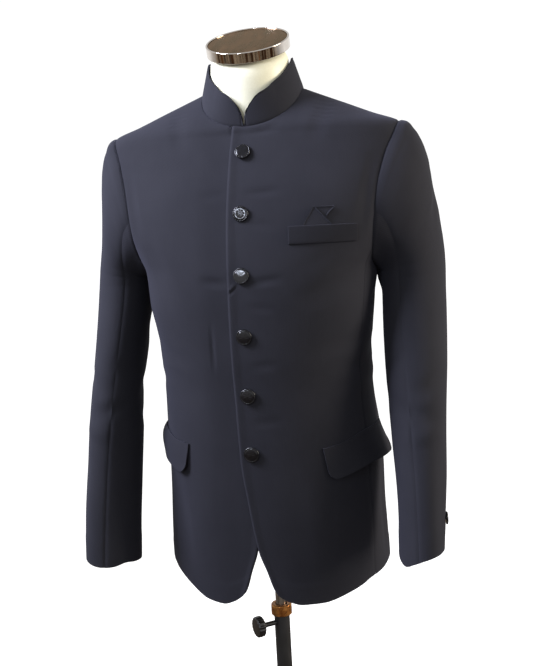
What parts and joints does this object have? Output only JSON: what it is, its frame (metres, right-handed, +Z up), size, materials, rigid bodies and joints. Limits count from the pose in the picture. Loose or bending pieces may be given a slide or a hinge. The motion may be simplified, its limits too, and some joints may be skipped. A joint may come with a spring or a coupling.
{
  "type": "bandhgala jacket on a dress form",
  "caption": "Tailored bandhgala jacket with a band collar, domed front buttons, chest welt and flap pockets, on a limbless dress form with a sliding pole stand.",
  "frame": {"origin": "centre of the underside of the base plate, on the pole's axis", "axes": "+Z up, the wearer faces -Y, +X is the wearer's left"},
  "size_m": [0.5636, 0.38, 1.5443],
  "materials": {
    "suiting": "fine twill wool blend, matt with a slight sheen",
    "button": "polished, domed, bright rim",
    "form": "satin cream",
    "chrome": "polished",
    "bronze": "brown bronze, satin",
    "steel": "polished",
    "black_steel": "black powder coat",
    "brass": "orange-brown, satin",
    "black_plastic": "moulded"
  },
  "bodies": {
    "stand": {"base_plate": "black_steel", "stand_tube": "black_steel", "clamp_ring": "brass"},
    "figure": {"left_front": "suiting", "right_front": "suiting", "left_side_panel": "suiting", "right_side_panel": "suiting", "left_back": "suiting", "right_back": "suiting", "left_top_sleeve": "suiting", "left_under_sleeve": "suiting", "right_top_sleeve": "suiting", "right_under_sleeve": "suiting", "collar": "suiting", "chest_welt": "suiting", "pocket_square": "suiting", "left_pocket_flap": "suiting", "right_pocket_flap": "suiting", "front_button_1": "button", "front_button_2": "button", "front_button_3": "button", "front_button_4": "button", "front_button_5": "button", "front_button_6": "button", "left_cuff_button": "button", "right_cuff_button": "button", "dress_form": "form", "neck_band": "chrome", "neck_cap": "bronze", "pole": "steel"},
    "knob": {"height_knob": "black_plastic"}
  },
  "joints": [
    {"name": "pole_slide", "type": "slide", "parent": "stand", "child": "figure", "axis": [0, 0, 1], "range_m": [-0.12, 0.15]},
    {"name": "knob_turn", "type": "hinge", "parent": "stand", "child": "knob", "pos_m": [0, 0, 0.596], "axis": [-0.7828, -0.6222, 0], "range_deg": [-180, 180]}
  ]
}
